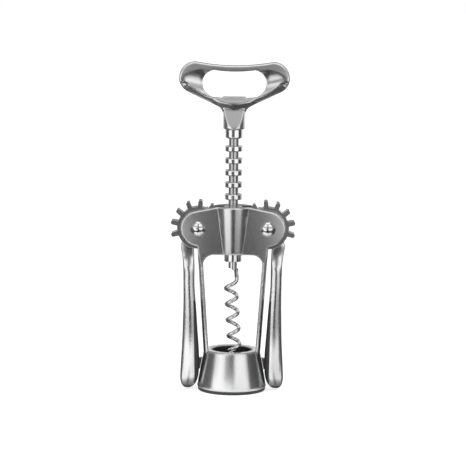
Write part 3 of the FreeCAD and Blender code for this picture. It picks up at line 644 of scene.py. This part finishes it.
def card_material(name, measure, stops):
    """Plain glow whose level follows the height, or the distance from the card's own origin."""
    material, tree, output = blank_material(name)
    if measure == "height":
        measured = object_axis(tree, "Z")
    else:
        place = add_node(tree, "TexCoord")
        length = add_node(tree, "VectorMath", operation="LENGTH")
        tree.links.new(place.outputs["Object"], length.inputs[0])
        measured = length.outputs["Value"]
    first, last = stops[0][0], stops[-1][0]
    levels = add_node(tree, "ValToRGB")
    tree.links.new(spread(tree, measured, first, last, 0, 1), levels.inputs[0])
    elements = levels.color_ramp.elements
    while len(elements) < len(stops):
        elements.new(0.5)
    for element, (place_m, level) in zip(elements, stops):
        element.position = (place_m - first) / (last - first)
        element.color = (level / CARD_PEAK, level / CARD_PEAK, level / CARD_PEAK, 1)
    glow = add_node(tree, "Emission")
    glow.inputs["Strength"].default_value = CARD_PEAK
    tree.links.new(levels.outputs["Color"], glow.inputs["Color"])
    tree.links.new(glow.outputs[0], output.inputs["Surface"])
    return material


def ring_point(azimuth, height, radius):
    """A point round the tool; azimuth 0 is towards the camera and grows towards +X."""
    angle = math.radians(azimuth)
    return (radius * math.sin(angle), -radius * math.cos(angle), height)


def card(name, first, last, near, far, measure, stops, centre_x=0.0):
    """A glowing card round the tool from one azimuth to another that only reflections see; near
    and far are the (height, radius) of its two long edges."""
    steps = max(1, round((last - first) / CARD_STEP_DEGREES))
    corners = []
    faces = []
    for step in range(steps + 1):
        azimuth = first + (last - first) * step / steps
        corners += [ring_point(azimuth, *near), ring_point(azimuth, *far)]
        if step:
            faces.append((2 * step - 2, 2 * step, 2 * step + 1, 2 * step - 1))
    mesh = bpy.data.meshes.new(name)
    mesh.from_pydata(corners, [], faces)
    mesh.materials.append(card_material(name, measure, stops))
    thing = add_object(name, mesh)
    thing.location.x = centre_x
    thing.visible_camera = False
    thing.visible_diffuse = False
    thing.visible_shadow = False
    thing.visible_transmission = False


def wall(name, first, last, stops, radius=STUDIO_RADIUS, centre_x=0.0):
    """A standing card; stops are (height, level) from its foot up."""
    foot, top = (stops[0][0], radius), (stops[-1][0], radius)
    card(name + "_wall", first, last, foot, top, "height", stops, centre_x)


def ground(name, first, last, stops, height=0.0005, centre_x=0.0):
    """A card that lies on the floor; stops are (distance, level) from its middle out."""
    near, far = (height, stops[0][0]), (height, stops[-1][0])
    card(name + "_ground", first, last, near, far, "distance", stops, centre_x)


def soft_box(name, azimuth, width, foot, top, radiance):
    """An area light for the diffuse pieces; the metal sees the cards in its place."""
    data = bpy.data.lights.new(name, "AREA")
    data.shape = "RECTANGLE"
    data.size = width
    data.size_y = top - foot
    data.energy = radiance * math.pi * width * (top - foot)
    light = add_object(name, data)
    light.location = ring_point(azimuth, (foot + top) / 2, STUDIO_RADIUS)
    facing = Vector(ring_point(azimuth, 0.0, STUDIO_RADIUS))
    light.rotation_euler = facing.to_track_quat("Z", "Y").to_euler()
    light.visible_camera = False
    light.visible_glossy = False


def add_cards():
    wall("front_foot", -13, 13, ((0, 0.06), (0.05, 0.08), (0.06, 0.10)))
    wall("front_low", -27, 10, ((0.06, 0.10), (0.08, 0.2), (0.14, 0.22)))
    wall("front", -13, 13, ((0.14, 0.34), (0.30, 0.36)))
    wall("front_high", -14, 14, ((0.30, 0.36), (0.40, 0.56), (0.46, 0.72), (0.60, 0.72), (1.0, 0.3)))
    ground("front", -13, 13, ((0.02, 0.06), (0.2, 0.05), (FAR, 0.06)))

    wall("left_box_foot", -54, -13, ((0, 1.6), (0.05, 1.6)))
    wall("left_box_low", -68, -13, ((0.05, 1.6), (0.06, 1.6)))
    wall("left_box_bell", -68, -27, ((0.06, 1.6), (0.14, 1.6)))
    wall("left_box", -68, -13, ((0.14, 1.6), (0.18, 1.6), (0.24, 0.9), (0.30, 0.5)))
    wall("left_box_high", -56, -14, ((0.30, 0.5), (0.38, 1.5), (0.75, 1.6), (1.0, 0.5)))
    ground("left_box", -54, -13, ((0.004, 1.2), (0.070, 1.2), (0.075, 0.08), (0.215, 0.10),
                                  (0.26, 1.5), (FAR, 1.6)))

    wall("right_box_foot", 13, 50, ((0, 1.3), (0.05, 1.3)))
    wall("right_box_low", 13, 60, ((0.05, 1.3), (0.06, 1.4)))
    wall("right_box_bell", 10, 60, ((0.06, 1.4), (0.10, 1.7), (0.14, 1.6)))
    wall("right_box", 13, 60, ((0.14, 1.6), (0.20, 0.6), (0.28, 0.6)))
    wall("right_box_high", 14, 66, ((0.28, 0.6), (0.36, 1.6), (0.75, 1.7), (1.0, 0.5)))
    ground("right_box", 13, 50, ((0.004, 0.9), (0.070, 0.9), (0.075, 0.06), (0.215, 0.08),
                                 (0.25, 0.36), (0.32, 0.36), (0.36, 0.9), (FAR, 1.2)))

    wall("left_flag_low", -122, -54, ((0, 0.14), (0.05, 0.14)))
    wall("left_flag", -122, -68, ((0.05, 0.12), (0.12, 0.16), (0.16, 0.5), (1.0, 0.3)))
    wall("right_flag_low", 50, 112, ((0, 0.08), (0.05, 0.08)))
    wall("right_flag", 60, 112, ((0.05, 0.10), (0.12, 0.12), (0.16, 0.4), (1.0, 0.2)))
    ground("left_flag", -122, -54, ((0.02, 0.12), (FAR, 0.15)))
    ground("right_flag", 50, 122, ((0.02, 0.10), (FAR, 0.10)))

    for side, first, last in (("left", -160, -122), ("right", 112, 160)):
        wall(side + "_rear", first, last, ((0, 1.1), (0.75, 1.2)))
        ground(side + "_rear", first, last, ((0.02, 0.3), (FAR, 0.8)))
    wall("rear", 160, 200, ((0, 0.10), (0.045, 0.2), (0.07, 1.5), (0.105, 1.5), (0.13, 0.3),
                            (0.75, 0.6)))
    ground("rear", 160, 200, ((0.02, 0.08), (FAR, 0.12)))
    card("ceiling", 0, 360, (CEILING_HEIGHT, 0.001), (CEILING_HEIGHT, 0.30), "height",
         ((0.99, 1.8), (1.01, 1.8)))


def add_foot_cards(side, lever_x):
    """Small cards that stand and lie round a lever's foot, low enough to be missed by the bell."""
    wall(side + "_foot_left", -58, -14, ((0.001, 1.7), (0.018, 1.7)), 0.090, lever_x)
    wall(side + "_foot_right", 16, 50, ((0.001, 1.3), (0.018, 1.3)), 0.090, lever_x)
    parts = (("left", -70, -13, 1.5), ("middle", -13, 8, 0.55), ("right", 8, 70, 1.15))
    for part, first, last, level in parts:
        stops = ((0.004, 0.25), (0.008, 0.35 * level), (0.018, level), (0.088, level))
        ground(side + "_foot_" + part, first, last, stops, 0.0008, lever_x)


add_world()
add_floor()
soft_box("left_soft_box", -38, 0.30, 0.0, 0.55, 1.7)
soft_box("right_soft_box", 34, 0.24, 0.10, 0.60, 1.3)
add_cards()
add_foot_cards("left", -0.026)
add_foot_cards("right", 0.026)
